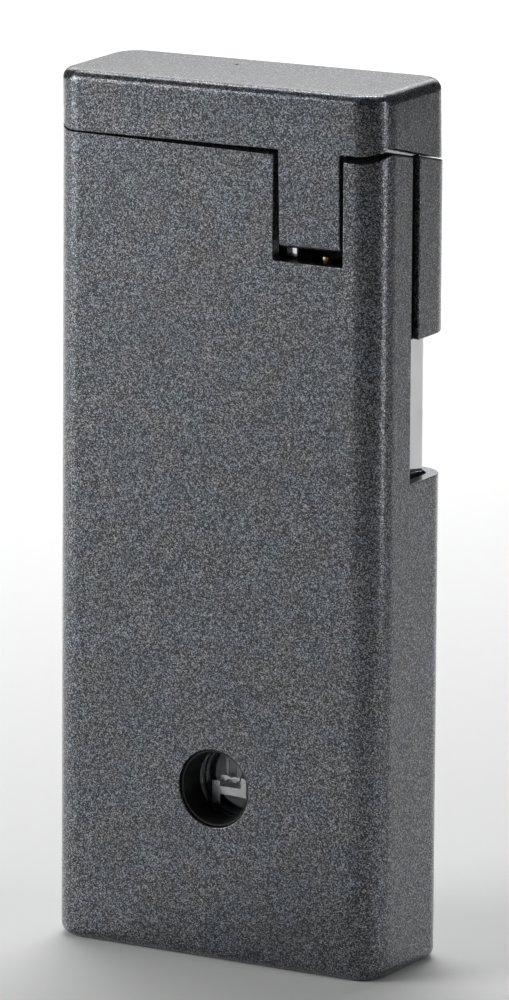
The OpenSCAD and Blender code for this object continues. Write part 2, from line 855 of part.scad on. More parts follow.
module cap_rivets() color([0.75, 0.76, 0.78]) rivets(cap_rivet, cap_leaf_y[0]);

module body_rivets() color([0.75, 0.76, 0.78]) rivets(body_rivet, body_leaf_y[0]);

outer_shell();
inner_sleeve();
windguard();
fuel_tank();
tank_base();
tank_screw();
window_bezel();
window_lens();
window_seal();
pickup_pin();
pickup_clip();
refill_valve_body();
refill_valve_stem();
refill_valve_spring();
refill_valve_seal();
flame_adjuster();
adjuster_rod();
valve_body();
valve_spring();
valve_seal();
burner_jet();
gas_lever();
lever_pin();
striker_bracket();
striker_axle();
striker_wheel();
drive_pinion();
flint();
flint_tube();
flint_spring();
flint_screw();
slider_cover();
slider_carriage();
slider_rack();
slider_spring();
guide_rod();
guide_bridge();
cap_shell();
cap_pad();
cap_hinge_leaf();
body_hinge_leaf();
hinge_pin();
cap_rivets();
body_rivets();
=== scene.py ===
from math import cos, pi, radians, sin

import bmesh
import bpy
from bpy.props import FloatProperty, FloatVectorProperty, PointerProperty
from mathutils import Matrix, Vector


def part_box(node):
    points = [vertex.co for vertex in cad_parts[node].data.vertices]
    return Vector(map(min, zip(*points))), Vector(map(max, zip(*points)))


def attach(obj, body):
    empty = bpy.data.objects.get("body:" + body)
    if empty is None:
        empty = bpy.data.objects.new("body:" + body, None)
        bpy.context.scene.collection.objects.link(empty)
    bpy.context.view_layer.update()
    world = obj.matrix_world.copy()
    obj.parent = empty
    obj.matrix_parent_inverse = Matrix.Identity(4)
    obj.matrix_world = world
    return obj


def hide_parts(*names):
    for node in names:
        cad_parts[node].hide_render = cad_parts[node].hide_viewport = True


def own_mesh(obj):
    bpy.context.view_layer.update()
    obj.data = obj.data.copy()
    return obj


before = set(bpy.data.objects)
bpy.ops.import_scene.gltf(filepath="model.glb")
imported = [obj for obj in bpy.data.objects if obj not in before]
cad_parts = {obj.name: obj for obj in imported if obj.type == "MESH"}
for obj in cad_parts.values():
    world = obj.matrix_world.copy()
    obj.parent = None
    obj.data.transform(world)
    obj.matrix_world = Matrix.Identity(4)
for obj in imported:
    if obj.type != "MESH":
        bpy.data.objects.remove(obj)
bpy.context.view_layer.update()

bl_info = {
    "name": "Slim pocket lighter",
    "version": (1, 0, 0),
    "blender": (4, 5, 0),
    "location": "View3D > Sidebar > Lighter",
    "description": "Builds the finished look of a slim pocket lighter round its packed frame",
    "category": "Object",
}

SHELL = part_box("outer_shell")
MM = 0.001
EPS = 1e-6
SEAM_FLAT = 0.15 * MM
HINGE_GAP = 0.15 * MM
EDGE = 0.09 * MM


def length(name, default, description):
    """A length property, in metres."""
    return FloatProperty(
        name=name, default=default, description=description, unit="LENGTH", subtype="DISTANCE"
    )


def colour(name, default, description):
    """A colour property."""
    return FloatVectorProperty(
        name=name, default=default, description=description, subtype="COLOR", size=3, min=0, max=1
    )


# ---------------------------------------------------------------- settings


class LighterSizes(bpy.types.PropertyGroup):
    """Sizes of the visible parts that the frame's boxes don't give."""

    corner: length("Corner radius", 2.5 * MM, "Radius of the body's four upright corners")
    foot: length("Edge radius", 0.9 * MM, "Radius of the rounded base and cap top")
    wall: length("Shell wall", 1.0 * MM, "Thickness of the painted shell")
    cap_wall: length("Cap wall", 0.9 * MM, "Thickness of the cap's walls")
    seam: length("Front seam", 65.18 * MM, "Height of the seam along the front")
    seam_peak: length("Seam peak", 65.78 * MM, "Height of the seam where the sides start to slope")
    seam_rear: length("Rear seam", 63.8 * MM, "Height of the seam at the back")
    seam_gap: length("Seam gap", 0.07 * MM, "Smallest gap between body and cap")
    cap_peak: length("Cap's right peak", 66.34 * MM, "Height of the cap's lower edge above the slide")
    peak_y: length("Peak position", -3.8 * MM, "Where the sides start to slope, front to back")
    notch_floor: length("Notch floor", 56.87 * MM, "Height of the notch's floor")
    notch_width: length("Notch width", 6.18 * MM, "Width of the notch for the tongue")
    tongue_x: length("Tongue position", 8.35 * MM, "Middle of the cap's tongue")
    tongue_width: length("Tongue width", 5.42 * MM, "Width of the cap's tongue")
    tongue_end: length("Tongue end", 57.55 * MM, "Height of the tongue's lower end")
    lip: length("Lip height", 39.2 * MM, "Height of the lip under the slide")
    window_z: length("Window height", 13.96 * MM, "Height of the fuel window's centre")
    lean: FloatProperty(
        name="Cap lean", default=radians(0.98), description="How far the closed cap leans", subtype="ANGLE"
    )


class LighterColours(bpy.types.PropertyGroup):
    """Colours of the finishes."""

    paint: colour("Paint", (0.125, 0.127, 0.136), "Ground colour of the metallic paint")
    flake: colour("Flake", (0.46, 0.47, 0.50), "Colour of the bright flakes in the paint")
    chrome: colour("Chrome", (0.84, 0.85, 0.87), "Polished chrome")
    steel: colour("Steel", (0.55, 0.555, 0.57), "Plain steel")
    brass: colour("Brass", (0.80, 0.62, 0.30), "Turned brass")
    plastic: colour("Black plastic", (0.012, 0.012, 0.013), "Moulded black plastic")
    floor: colour("Floor", (0.90, 0.90, 0.90), "Plain pale floor")


# ---------------------------------------------------------------- shader maths


class Wire:
    """A shader socket that can be used in Python expressions."""

    def __init__(self, tree, socket=None):
        self.tree = tree
        self.socket = socket

    def node(self, kind, settings=None, sockets=None, out=0):
        """Adds a node: its settings first, then the values or links of its sockets."""
        made = self.tree.nodes.new(kind)
        for key, value in (settings or {}).items():
            setattr(made, key, value)
        for key, value in (sockets or {}).items():
            self.plug(find_socket(made.inputs, key), value)
        return Wire(self.tree, find_socket(made.outputs, out))

    def plug(self, socket, value):
        """Links a wire to a socket, or sets the socket's own value."""
        if isinstance(value, Wire):
            self.tree.links.new(value.socket, socket)
        elif isinstance(value, (tuple, list)) and socket.type == "RGBA" and len(value) == 3:
            socket.default_value = (*value, 1)
        else:
            socket.default_value = value

    def _maths(self, operation, first, second):
        return self.node("ShaderNodeMath", {"operation": operation}, {0: first, 1: second})

    def __add__(self, other):
        return self._maths("ADD", self, other)

    __radd__ = __add__

    def __mul__(self, other):
        return self._maths("MULTIPLY", self, other)

    __rmul__ = __mul__

    def __sub__(self, other):
        return self._maths("SUBTRACT", self, other)

    def __rsub__(self, other):
        return self._maths("SUBTRACT", other, self)

    def __pow__(self, other):
        return self._maths("POWER", self, other)

    def ramp(self, low, high):
        """0 below low, 1 above high, straight between them."""
        sockets = {"Value": self, "From Min": low, "From Max": high}
        return self.node("ShaderNodeMapRange", {"clamp": True}, sockets)

    def blend(self, first, second):
        """first where this is 0, second where it is 1, as colours."""
        sockets = {"Factor_Float": self, "A_Color": first, "B_Color": second}
        return self.node("ShaderNodeMix", {"data_type": "RGBA"}, sockets, "Result_Color")


def find_socket(sockets, key):
    """A socket by number, by identifier or by name."""
    if isinstance(key, int):
        return sockets[key]
    for s in sockets:
        if s.identifier == key:
            return s
    return sockets[key]


def new_material(name, **fixed):
    """A material with an empty Principled shader; fixed holds its unvarying sockets. Returns both."""
    material = bpy.data.materials.new(name)
    material.use_nodes = True
    tree = material.node_tree
    shader = tree.nodes["Principled BSDF"]
    for key, value in fixed.items():
        socket = shader.inputs[key.replace("_", " ")]
        socket.default_value = (*value, 1) if isinstance(value, tuple) and len(value) == 3 else value
    return material, Wire(tree), shader


def drive(wire, shader, **varying):
    """Links varying values to the shader's sockets."""
    for key, value in varying.items():
        wire.plug(shader.inputs[key.replace("_", " ")], value)


def noise(wire, place, scale, detail=2, rough=0.5):
    """Noise with features of about 1 / scale metres."""
    sockets = {"Vector": place, "Scale": scale, "Detail": detail, "Roughness": rough}
    return wire.node("ShaderNodeTexNoise", {}, sockets, "Fac")


def bump(wire, height, depth, strength=1.0):
    """A normal from a height of 0 to 1 that stands for depth metres."""
    sockets = {"Strength": strength, "Distance": depth, "Height": height}
    return wire.node("ShaderNodeBump", {}, sockets, "Normal")


def shades(tone, *shares):
    """The same tone at several brightnesses."""
    return [tuple(c * share for c in tone) for share in shares]


def object_place(wire):
    """Place in the piece's own frame, in metres."""
    return wire.node("ShaderNodeTexCoord", {}, {}, "Object")


# ---------------------------------------------------------------- materials


def paint_material(colours):
    """Dark metallic paint: fine bright and dark flakes, faint cloudy tint, a smooth lacquer."""
    material, wire, shader = new_material(
        "dark_metallic_paint", Coat_Roughness=0.16, Coat_IOR=1.5, Specular_IOR_Level=0.5
    )
    flakes_per_metre = 12500
    dust_per_metre = 10000
    place = object_place(wire)
    sockets = {"Vector": place, "Scale": flakes_per_metre}
    cell = wire.node("ShaderNodeTexVoronoi", {"feature": "F1"}, sockets, "Color")
    flake = wire.node("ShaderNodeSeparateColor", {}, {"Color": cell}, "Red")
    dust = noise(wire, place, dust_per_metre, 2, 0.8).ramp(0.3, 0.7)
    grain = flake * 0.75 + 0.25 * dust
    cloud = noise(wire, place, 190, 3, 0.55)
    hue = noise(wire, place, 420, 2, 0.5).ramp(0.36, 0.64)
    dark, bright = shades(colours.paint, 0.08, 4.0)
    tone = (grain.ramp(0.3, 0.95) ** 1.8).blend(dark, bright)
    tone = (grain.ramp(0.78, 1.0) * 0.8).blend(tone, colours.flake[:])
    cool_filter = (0.80, 0.98, 1.12)
    shadow = (0.05, 0.05, 0.055)
    cool = wire.node(
        "ShaderNodeMix", {"data_type": "RGBA", "blend_type": "MULTIPLY"},
        {"Factor_Float": hue * 0.55, "A_Color": tone, "B_Color": cool_filter}, "Result_Color",
    )
    drive(
        wire,
        shader,
        Base_Color=(cloud.ramp(0.35, 0.7) * 0.18).blend(cool, shadow),
        Metallic=0.70 + 0.25 * grain,
        Roughness=0.38 - 0.12 * grain,
        Coat_Weight=0.75 + 0.2 * cloud,
        Normal=bump(wire, grain, 0.02 * MM, 0.8),
    )
    return material


def chrome_material(colours):
    """Polished chrome with faint wiping marks."""
    material, wire, shader = new_material("polished_chrome", Metallic=1.0, Specular_IOR_Level=0.5)
    place = object_place(wire)
    stretched = wire.node("ShaderNodeMapping", {}, {"Vector": place, "Scale": (1, 1, 0.06)}, "Vector")
    streak = noise(wire, stretched, 2600, 3, 0.6)
    smear = noise(wire, place, 240, 3, 0.5)
    tone, dull = shades(colours.chrome, 1, 0.86)
    drive(
        wire,
        shader,
        Base_Color=smear.ramp(0.35, 0.7).blend(dull, tone),
        Roughness=0.05 + 0.07 * streak + 0.05 * smear,
        Normal=bump(wire, streak, 0.002 * MM, 0.3),
    )
    return material


def metal_material(name, tone, rough, along=(1, 1, 0.05), scale=2400, spots=0.25):
    """Drawn, turned or brushed metal: fine lines along one way and slight tarnish."""
    material, wire, shader = new_material(name, Metallic=1.0, Specular_IOR_Level=0.5)
    place = object_place(wire)
    stretched = wire.node("ShaderNodeMapping", {}, {"Vector": place, "Scale": along}, "Vector")
    lines = noise(wire, stretched, scale, 4, 0.65)
    tarnish = noise(wire, place, 420, 4, 0.6).ramp(0.45, 0.8)
    plain, lined, dark = shades(tone, 1, 0.8, 0.55)
    base = (lines * 0.5).blend(plain, lined)
    base = (tarnish * spots).blend(base, dark)
    drive(
        wire,
        shader,
        Base_Color=base,
        Roughness=rough + 0.18 * lines + 0.12 * tarnish - 0.08,
        Normal=bump(wire, lines, 0.006 * MM, 0.5),
    )
    return material


def plastic_material(name, tone, rough, grain_scale, grain_depth):
    """Moulded black plastic or rubber with a fine spark-eroded grain."""
    material, wire, shader = new_material(name, Metallic=0.0, Specular_IOR_Level=0.45)
    place = object_place(wire)
    grain = noise(wire, place, grain_scale, 3, 0.6)
    worn = noise(wire, place, 300, 3, 0.5).ramp(0.5, 0.8)
    lighter = tuple(c * 2.2 + 0.004 for c in tone)
    drive(
        wire,
        shader,
        Base_Color=(worn * 0.6).blend(tuple(tone), lighter),
        Roughness=rough + 0.15 * grain - 0.1 * worn,
        Normal=bump(wire, grain, grain_depth, 0.5),
    )
    return material


def lens_material():
    """Clear lens: a thin mirror that is see-through except where it catches the light."""
    material, wire, shader = new_material("clear_lens", Base_Color=(0.93, 0.96, 1.0), Metallic=1.0)
    place = object_place(wire)
    smear = noise(wire, place, 600, 3, 0.6)
    catch = wire.node("ShaderNodeFresnel", {}, {"IOR": 1.49})
    drive(
        wire,
        shader,
        Alpha=0.01 + 0.9 * catch,
        Roughness=0.02 + 0.05 * smear.ramp(0.45, 0.8),
        Normal=bump(wire, smear, 0.002 * MM, 0.2),
    )
    return material


def floor_material(colours):
    """Plain pale floor with the faintest unevenness."""
    material, wire, shader = new_material("pale_floor", Metallic=0.0, Specular_IOR_Level=0.1)
    place = object_place(wire)
    dull, tone = shades(colours.floor, 0.985, 1)
    cloud = noise(wire, place, 3, 2, 0.5)
    drive(wire, shader, Base_Color=cloud.blend(dull, tone), Roughness=0.85 + 0.05 * cloud)
    return material


FINISHES = {}


def make_finishes(colours):
    """One material for each of the record's slots, and one for the floor."""
    sheet, steel, wire_steel, wheel_steel, flint = shades(colours.steel, 1.2, 1, 0.8, 0.45, 0.4)
    black = colours.plastic[:]
    FINISHES.update(
        painted_body=paint_material(colours),
        chrome=chrome_material(colours),
        tank_metal=metal_material("drawn_tank_sheet", sheet, 0.30),
        steel=metal_material("turned_steel", steel, 0.28, (1, 1, 0.2)),
        spring_steel=metal_material("spring_wire", wire_steel, 0.32, (1, 1, 1), 1800),
        brass=metal_material("turned_brass", colours.brass[:], 0.22, (1, 1, 0.15), 3000),
        striker_steel=metal_material("striker_steel", wheel_steel, 0.42, (1, 0.1, 1)),
        flint_alloy=metal_material("flint_alloy", flint, 0.6, (1, 1, 0.3), 1500, 0.6),
        black_plastic=plastic_material("moulded_black", black, 0.42, 5200, 0.006 * MM),
        black_rubber=plastic_material("black_rubber", black, 0.62, 2600, 0.010 * MM),
        clear_lens=lens_material(),
        floor=floor_material(colours),
    )


# ---------------------------------------------------------------- mesh making


def object_from(bm, name):
    """Turns a bmesh into an object with outward normals."""
    bmesh.ops.recalc_face_normals(bm, faces=bm.faces)
    mesh = bpy.data.meshes.new(name)
    bm.to_mesh(mesh)
    bm.free()
    made = bpy.data.objects.new(name, mesh)
    bpy.context.scene.collection.objects.link(made)
    return made


def corner_ring(half_x, half_y, r, z, mid_y=0.0, steps=14):
    """Rounded rectangle at height z, anticlockwise."""
    points = []
    for sx, sy, start in ((1, 1, 0), (-1, 1, 90), (-1, -1, 180), (1, -1, 270)):
        for i in range(steps + 1):
            a = radians(start + 90 * i / steps)
            points.append((sx * (half_x - r) + r * cos(a), mid_y + sy * (half_y - r) + r * sin(a), z))
    return points


def loft(name, rings):
    """Closed skin through rings of equal length, with a flat face at each end."""
    bm = bmesh.new()
    rows = [[bm.verts.new(p) for p in ring] for ring in rings]
    n = len(rings[0])
    for low, high in zip(rows, rows[1:]):
        for i in range(n):
            bm.faces.new((low[i], low[(i + 1) % n], high[(i + 1) % n], high[i]))
    bm.faces.new(rows[0])
    bm.faces.new(rows[-1])
    return object_from(bm, name)


def prism(name, outline, axis, low, high):
    """Outline in the two other axes, drawn along axis from low to high."""
    bm = bmesh.new()

    def place(point, along):
        a, b = point
        return {"X": (along, a, b), "Y": (a, along, b), "Z": (a, b, along)}[axis]

    near = [bm.verts.new(place(p, low)) for p in outline]
    far = [bm.verts.new(place(p, high)) for p in outline]
    n = len(outline)
    for i in range(n):
        bm.faces.new((near[i], near[(i + 1) % n], far[(i + 1) % n], far[i]))
    bm.faces.new(near)
    bm.faces.new(far)
    return object_from(bm, name)


def block(name, low, high):
    """Box between two corners, for cutting."""
    (x0, y0, z0), (x1, y1, z1) = low, high
    return prism(name, [(x0, y0), (x1, y0), (x1, y1), (x0, y1)], "Z", z0, z1)


def circle(cx, cy, r, steps=64):
    """Points of a circle or a regular polygon."""
    return [(cx + r * cos(a), cy + r * sin(a)) for a in [2 * pi * i / steps for i in range(steps)]]


def lathe(name, profile, centre, axis="Z", steps=96, closed=False):
    """Turns a profile of (radius, distance along) round an axis through centre.

    closed joins the profile's last point to its first.
    """
    bm = bmesh.new()
    rows = []
    for r, along in profile:
        if r < EPS:
            rows.append([bm.verts.new(turned(0, 0, along, centre, axis))])
            continue
        ring = [turned(a, b, along, centre, axis) for a, b in circle(0, 0, r, steps)]
        rows.append([bm.verts.new(p) for p in ring])
    pairs = list(zip(rows, rows[1:]))
    if closed:
        pairs.append((rows[-1], rows[0]))
    for low, high in pairs:
        for i in range(steps):
            j = (i + 1) % steps
            corners = [low[i % len(low)], low[j % len(low)], high[j % len(high)], high[i % len(high)]]
            bm.faces.new(list(dict.fromkeys(corners)))
    return object_from(bm, name)


def turned(a, b, along, centre, axis):
    """A point at (a, b) off an axis through centre, and along it."""
    cx, cy, cz = centre
    return {
        "X": (cx + along, cy + a, cz + b),
        "Y": (cx + a, cy + along, cz + b),
        "Z": (cx + a, cy + b, cz + along),
    }[axis]


def helix(name, centre, radius, wire, height, turns, steps=28, sides=10, ground=0.8):
    """Compression spring about Z with its last turns at each end closed up."""
    x, y, base_z = centre
    bm = bmesh.new()
    total = int(turns * steps)
    rows = []
    for i in range(total + 1):
        t = i / steps
        a = 2 * pi * t
        rise = min(t, ground) * 2 * wire + min(max(turns - t, 0), ground) * -2 * wire
        free = max(0.0, min(t - ground, turns - 2 * ground)) / (turns - 2 * ground)
        span = height - 2 * wire - 4 * wire * ground
        z = wire + rise + 2 * wire * ground + free * span
        row = []
        for k in range(sides):
            b = 2 * pi * k / sides
            out = radius + wire * cos(b)
            row.append(bm.verts.new((x + out * cos(a), y + out * sin(a), base_z + z + wire * sin(b))))
        rows.append(row)
    for low, high in zip(rows, rows[1:]):
        for k in range(sides):
            bm.faces.new((low[k], low[(k + 1) % sides], high[(k + 1) % sides], high[k]))
    bm.faces.new(rows[0])
    bm.faces.new(rows[-1])
    return object_from(bm, name)


def settle(obj):
    """Applies the object's modifiers."""
    graph = bpy.context.evaluated_depsgraph_get()
    graph.update()
    mesh = bpy.data.meshes.new_from_object(obj.evaluated_get(graph))
    obj.modifiers.clear()
    old = obj.data
    obj.data = mesh
    bpy.data.meshes.remove(old)
    return obj


def carve(obj, *cutters):
    """Cuts the cutters out of obj, one after another, and removes them."""
    for cutter in cutters:
        cut = obj.modifiers.new("cut", "BOOLEAN")
        cut.operation = "DIFFERENCE"
        cut.solver = "EXACT"
        cut.object = cutter
        settle(obj)
        bpy.data.objects.remove(cutter)
    clean(obj)
    return obj


def clean(obj, flat=radians(0.5)):
    """Merges stray points and joins faces that lie in one plane."""
    bm = bmesh.new()
    bm.from_mesh(obj.data)
    bmesh.ops.remove_doubles(bm, verts=bm.verts, dist=2e-7)
    bmesh.ops.dissolve_limit(bm, angle_limit=flat, verts=bm.verts, edges=bm.edges)
    bmesh.ops.recalc_face_normals(bm, faces=bm.faces)
    bm.to_mesh(obj.data)
    bm.free()
    return obj


def soften(obj, width, segments=3, angle=32):
    """Rounds the sharp edges and smooths the shading."""
    if width:
        edge = obj.modifiers.new("edges", "BEVEL")
        edge.width = width
        edge.segments = segments
        edge.limit_method = "ANGLE"
        edge.angle_limit = radians(angle)
        edge.use_clamp_overlap = False
        edge.miter_outer = "MITER_ARC"
        settle(obj)
    obj.data.shade_smooth()
    obj.data.set_sharp_from_angle(angle=radians(angle))
    weighted = obj.modifiers.new("normals", "WEIGHTED_NORMAL")
    weighted.keep_sharp = True
    weighted.weight = 80
    return obj


def mount(obj, body, slot, *nodes):
    """Gives a piece its finish and its body, and hides the CAD nodes it stands for."""
    obj.data.materials.clear()
    obj.data.materials.append(FINISHES[slot])
    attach(obj, body)
    if nodes:
        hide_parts(*nodes)
    return obj


def dress(node, slot, edge=0.04 * MM):
    """Keeps a CAD node's shape and gives it a finish and fine edges."""
    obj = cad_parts[node]
    obj.data.materials.clear()
    obj.data.materials.append(FINISHES[slot])
    if edge:
        bevel = obj.modifiers.new("edges", "BEVEL")
        bevel.width = edge
        bevel.segments = 2
        bevel.limit_method = "ANGLE"
        bevel.angle_limit = radians(40)
    return obj


# ---------------------------------------------------------------- shapes of the lighter


def seam_outline(front, peak, rear, peak_y, upward):
    """Side profile of the seam, closed above it or below it."""
    y0 = SHELL[0].y
    y1 = SHELL[1].y
    out = 2 * MM
    far = 90 * MM if upward else 40 * MM
    return [
        (y0 - out, front), (y0 + SEAM_FLAT, front), (peak_y, peak), (y1, rear), (y1 + out, rear),
        (y1 + out, far), (y0 - out, far),
    ]


def foot_rings(half_x, half_y, r, e, z, up, steps=10):
    """Rings of a rounded edge of radius e that ends flat at height z; up is 1 where the body is above it."""
    rings = []
    for i in range(steps + 1):
        a = pi / 2 * i / steps
        shrink = e * (1 - sin(a))
        rings.append(corner_ring(half_x - shrink, half_y - shrink, r - shrink, z + up * e * (1 - cos(a))))
    return rings


def make_shell(sizes):
    """Painted outer shell: one drawn can with its notch, its cut corner, window and base holes."""
    half_x = SHELL[1].x
    half_y = SHELL[1].y
    t = sizes.wall
    floor_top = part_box("inner_sleeve")[0].z - 0.02 * MM
    top = sizes.seam_peak + 1 * MM
    inner = [corner_ring(half_x - t, half_y - t, sizes.corner - t, z) for z in (floor_top, top)]
    outer = foot_rings(half_x, half_y, sizes.corner, sizes.foot, 0, 1)[::-1]
    obj = loft("painted_shell", [*inner, corner_ring(half_x, half_y, sizes.corner, top), *outer])
    seam = seam_outline(sizes.seam, sizes.seam_peak, sizes.seam_rear, sizes.peak_y, True)
    notch_l = sizes.tongue_x - sizes.notch_width / 2
    notch_r = sizes.tongue_x + sizes.notch_width / 2
    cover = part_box("slider_cover")
    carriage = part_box("slider_carriage")
    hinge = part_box("body_hinge_leaf")
    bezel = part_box("window_bezel")
    window_x = (bezel[0].x + bezel[1].x) / 2
    window_r = (bezel[1].x - bezel[0].x) / 2 + 0.04 * MM
    far = 80 * MM
    deep = 0.5 * MM
    hinge_cut_z = hinge[1].z - 2.18 * MM
    carriage_y = carriage[0].y - 0.1 * MM
    hinge_l, hinge_r = hinge[0].x - HINGE_GAP, hinge[1].x + HINGE_GAP
    window = circle(window_x, sizes.window_z, window_r, 96)
    cutters = [
        prism("cutter", seam, "X", -half_x - MM, half_x + MM),
        block("cutter", (notch_l, -half_y - MM, sizes.notch_floor), (notch_r, -half_y + t + deep, far)),
        block("cutter", (cover[0].x - 0.15 * MM, carriage_y, sizes.lip), (half_x + MM, half_y + MM, far)),
        prism("cutter", window, "Y", -half_y - MM, -half_y + t + deep),
        block("cutter", (hinge_l, half_y - t - deep, hinge_cut_z), (hinge_r, half_y + MM, far)),
    ]
    for node in ("refill_valve_body", "flame_adjuster", "flint_screw", "tank_screw"):
        low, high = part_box(node)
        hole = circle((low.x + high.x) / 2, (low.y + high.y) / 2, (high.x - low.x) / 2 + 0.1 * MM)
        cutters.append(prism("cutter", hole, "Z", -MM, floor_top + MM))
    for low, high in rivet_boxes("body_rivets"):
        mid = (low + high) / 2
        hole = circle(mid.x, mid.z, (high.z - low.z) / 2 + 0.02 * MM, 32)
        cutters.append(prism("cutter", hole, "Y", 4 * MM, half_y + MM))
    carve(obj, *cutters)
    soften(obj, EDGE, 3)
    return mount(obj, "base", "painted_body", "outer_shell")


def rivet_boxes(node):
    """Box of each separate solid of a node, left and right of the middle."""
    points = [v.co.copy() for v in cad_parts[node].data.vertices]
    boxes = []
    for side in (-1, 1):
        own = [p for p in points if p.x * side > 0]
        low = Vector(min(p[k] for p in own) for k in range(3))
        high = Vector(max(p[k] for p in own) for k in range(3))
        boxes.append((low, high))
    return boxes


def make_cap(sizes):
    """Painted cap with its tongue, leaning a little as it rests, its lower edge following the seam."""
    half_x = SHELL[1].x
    half_y = SHELL[1].y
    t = sizes.cap_wall
    top = 70 * MM
    inner_top = top - 1.1 * MM
    lean_pivot = Vector((-13.8 * MM, 0, 65.7 * MM))
    tongue_round = 0.6 * MM
    inner = [corner_ring(half_x - t, half_y - t, sizes.corner - t, z) for z in (inner_top, sizes.tongue_end)]
    lower = foot_rings(half_x, half_y, sizes.corner, tongue_round, sizes.tongue_end, 1, 8)
    upper = foot_rings(half_x, half_y, sizes.corner, sizes.foot, top, -1)[::-1]
    obj = loft("painted_cap", [*inner, *lower, *upper])
    left = sizes.tongue_x - sizes.tongue_width / 2
    right = sizes.tongue_x + sizes.tongue_width / 2
    wide = 20 * MM
    low = 50 * MM
    line = sizes.seam + sizes.seam_gap
    peak = sizes.seam_peak + sizes.seam_gap
    rear = sizes.seam_rear + sizes.seam_gap
    front_y = -half_y - MM
    flat_y = -half_y + SEAM_FLAT
    front = [(front_y, line), (flat_y, line), (sizes.peak_y, peak), (sizes.peak_y, low), (front_y, low)]
    carve(obj, prism("cutter", front, "X", -wide, left), prism("cutter", front, "X", right, wide))
    turn = Matrix.Rotation(-sizes.lean, 4, "Y")
    obj.data.transform(Matrix.Translation(lean_pivot) @ turn @ Matrix.Translation(-lean_pivot))
    right_seam = sizes.seam + 0.52 * MM
    side_x = 11.6 * MM
    slope_end_x = 12.5 * MM
    behind = [(half_y, rear), (half_y + MM, rear), (half_y + MM, low)]
    left_line = seam_outline(line, peak, rear, sizes.peak_y, False)
    right_line = [
        (front_y, right_seam), (flat_y, right_seam), (sizes.peak_y, sizes.cap_peak), *behind, (front_y, low)
    ]
    slope = [(sizes.peak_y, peak), *behind, (sizes.peak_y, low)]
    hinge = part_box("body_hinge_leaf")
    hinge_l, hinge_r = hinge[0].x - HINGE_GAP, hinge[1].x + HINGE_GAP
    hinge_top = 65 * MM
    pinhole = circle(-2.84 * MM, 2.58 * MM, 0.16 * MM, 24)
    rivet_hole_r = 0.42 * MM
    cutters = [
        prism("cutter", left_line, "X", -wide, -side_x),
        prism("cutter", slope, "X", -wide, slope_end_x),
        prism("cutter", right_line, "X", side_x, wide),
        block("cutter", (hinge_l, half_y - t - 0.3 * MM, low), (hinge_r, wide, hinge_top)),
        prism("cutter", pinhole, "Z", top - 0.5 * MM, top + 5 * MM),
    ]
    for low_corner, high_corner in rivet_boxes("cap_rivets"):
        mid = (low_corner + high_corner) / 2
        hole = circle(mid.x, mid.z, rivet_hole_r, 32)
        cutters.append(prism("cutter", hole, "Y", 4 * MM, half_y + MM))
    carve(obj, *cutters)
    soften(obj, EDGE, 3)
    return mount(obj, "cap", "painted_body", "cap_shell")


def make_slide_cover(sizes):
    """Painted thumb piece that wraps the corner, with softly rounded edges."""
    low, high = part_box("slider_cover")
    proud = high.x - SHELL[1].x
    t = 0.6 * MM
    out_x, out_y = high.x, high.y
    outer_r = sizes.corner + proud
    inner_r = outer_r - t
    steps = 18
    outline = [(low.x, out_y)]
    for i in range(steps + 1):
        a = radians(90 - 90 * i / steps)
        outline.append((out_x - outer_r + outer_r * cos(a), out_y - outer_r + outer_r * sin(a)))
    outline += [(out_x, low.y), (out_x - t, low.y)]
    for i in range(steps + 1):
        a = radians(90 * i / steps)
        outline.append((out_x - outer_r + inner_r * cos(a), out_y - outer_r + inner_r * sin(a)))
    outline.append((low.x, out_y - t))
    rough_top = 67 * MM
    far = 90 * MM
    back_y = 6.2 * MM
    obj = prism("painted_thumb_piece", outline, "Z", low.z, rough_top)
    slope = [(-MM, 65.38 * MM), (back_y, 63.68 * MM), (back_y, far), (-MM, far)]
    edge = block("cutter", (0, -2 * MM, -20 * MM), (20 * MM, 0, 2 * MM))
    edge_foot = Matrix.Translation((0, low.y + 0.02 * MM, 65 * MM))
    edge.data.transform(edge_foot @ Matrix.Rotation(radians(-2.2), 4, "X"))
    carve(obj, prism("cutter", slope, "X", 0, 20 * MM), edge)
    soften(obj, 0.17 * MM, 4)
    return mount(obj, "slider", "painted_body", "slider_cover")


def make_sheet_tube(name, node, cutters):
    """Thin chrome tube of rounded rectangular section that fills a node's box."""
    low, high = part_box(node)
    mid_y = (low.y + high.y) / 2
    half_y = (high.y - low.y) / 2
    wall = 0.35 * MM
    r = 0.8 * MM
    rings = []
    for inset, z in ((wall, low.z), (wall, high.z), (0, high.z), (0, low.z)):
        rings.append(corner_ring(high.x - inset, half_y - inset, r - inset, z, mid_y, 10))
    obj = loft(name, rings)
    bm = bmesh.new()
    bm.from_mesh(obj.data)
    ends = [f for f in bm.faces if len(f.verts) > 4]
    bmesh.ops.delete(bm, geom=ends, context="FACES_ONLY")
    bmesh.ops.bridge_loops(bm, edges=[e for e in bm.edges if e.is_boundary])
    bmesh.ops.recalc_face_normals(bm, faces=bm.faces)
    bm.to_mesh(obj.data)
    bm.free()
    carve(obj, *cutters)
    soften(obj, 0.04 * MM, 2)
    return mount(obj, "base", "chrome", node)


